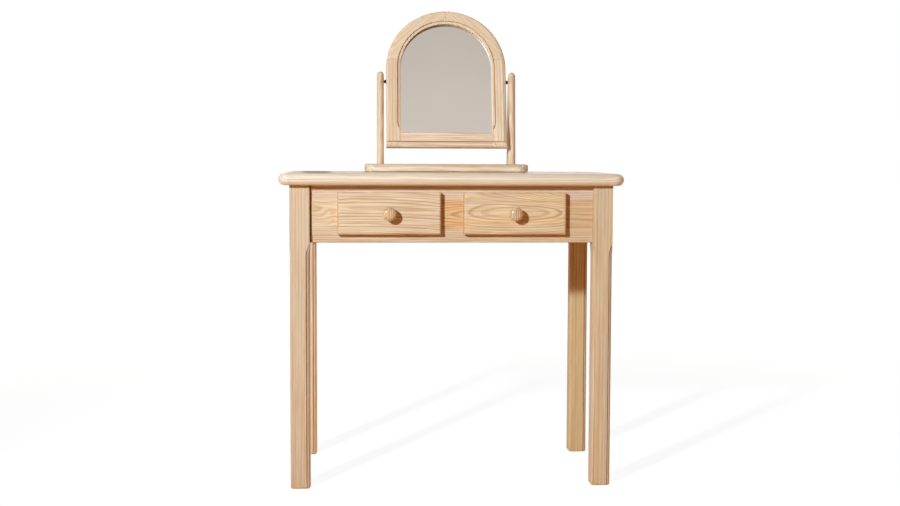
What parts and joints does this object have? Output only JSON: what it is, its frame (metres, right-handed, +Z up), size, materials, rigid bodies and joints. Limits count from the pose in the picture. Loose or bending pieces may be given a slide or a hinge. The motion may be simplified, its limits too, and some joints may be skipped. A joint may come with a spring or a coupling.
{
  "type": "dressing table",
  "caption": "Pine dressing table on square beaded legs, with overlay drawers on side runners and a small arched mirror that tilts between uprights on the top.",
  "frame": {"origin": "centre of the bounding box's footprint, on the floor that the legs stand on", "axes": "+Z up, -Y the front with the drawers, +X to the right seen from the front"},
  "size_m": [0.826, 0.4616, 1.1795],
  "materials": {
    "pine_top": "clear satin lacquer over pale pine",
    "pine_legs": "clear satin lacquer over pale pine",
    "pine_rail": "clear satin lacquer over pale pine",
    "pine_unfinished": "planed bare pine",
    "beech_runner": "planed bare beech",
    "pine_mirror_stand": "clear satin lacquer over pale pine",
    "pine_drawer_front": "clear satin lacquer over pale pine",
    "turned_knob": "glossy lacquer over turned pine",
    "plywood": "thin sanded plywood",
    "pine_mirror_frame": "clear satin lacquer over pale pine",
    "silvered_glass": "silvered flat glass",
    "hardboard": "smooth brown fibreboard",
    "steel": "zinc-plated countersunk screw",
    "dark_plastic": "dark brown washer-like spacer"
  },
  "bodies": {
    "table": {"table_top": "pine_top", "leg_front_left": "pine_legs", "leg_front_right": "pine_legs", "leg_rear_left": "pine_legs", "leg_rear_right": "pine_legs", "front_rail_top": "pine_rail", "front_rail_bottom": "pine_rail", "front_block_left": "pine_rail", "front_block_centre": "pine_rail", "front_block_right": "pine_rail", "rear_rail": "pine_rail", "side_rail_left": "pine_rail", "side_rail_right": "pine_rail", "corner_block_front_left": "pine_unfinished", "corner_block_front_right": "pine_unfinished", "corner_block_rear_left": "pine_unfinished", "corner_block_rear_right": "pine_unfinished", "bearer_left_drawer_left": "pine_unfinished", "bearer_left_drawer_right": "pine_unfinished", "bearer_right_drawer_left": "pine_unfinished", "bearer_right_drawer_right": "pine_unfinished", "runner_left_drawer_left": "beech_runner", "runner_left_drawer_right": "beech_runner", "runner_right_drawer_left": "beech_runner", "runner_right_drawer_right": "beech_runner", "mirror_base": "pine_mirror_stand", "mirror_upright_left": "pine_mirror_stand", "mirror_upright_right": "pine_mirror_stand"},
    "drawer_left": {"drawer_left_front": "pine_drawer_front", "drawer_left_knob": "turned_knob", "drawer_left_box_front": "pine_unfinished", "drawer_left_side_left": "pine_unfinished", "drawer_left_side_right": "pine_unfinished", "drawer_left_back": "pine_unfinished", "drawer_left_bottom": "plywood"},
    "drawer_right": {"drawer_right_front": "pine_drawer_front", "drawer_right_knob": "turned_knob", "drawer_right_box_front": "pine_unfinished", "drawer_right_side_left": "pine_unfinished", "drawer_right_side_right": "pine_unfinished", "drawer_right_back": "pine_unfinished", "drawer_right_bottom": "plywood"},
    "mirror": {"mirror_frame_stile_left": "pine_mirror_frame", "mirror_frame_stile_right": "pine_mirror_frame", "mirror_frame_arch_left": "pine_mirror_frame", "mirror_frame_arch_right": "pine_mirror_frame", "mirror_frame_bottom_rail": "pine_mirror_frame", "mirror_glass": "silvered_glass", "mirror_back_panel": "hardboard", "pivot_screw_left": "steel", "pivot_screw_right": "steel", "pivot_spacer_left": "dark_plastic", "pivot_spacer_right": "dark_plastic"}
  },
  "joints": [
    {"name": "drawer_left_slide", "type": "slide", "parent": "table", "child": "drawer_left", "axis": [0, -1, 0], "range_m": [0, 0.25]},
    {"name": "drawer_right_slide", "type": "slide", "parent": "table", "child": "drawer_right", "axis": [0, -1, 0], "range_m": [0, 0.25]},
    {"name": "mirror_tilt", "type": "hinge", "parent": "table", "child": "mirror", "pos_m": [0, 0.0978, 0.9931], "axis": [1, 0, 0], "continuous": true}
  ]
}
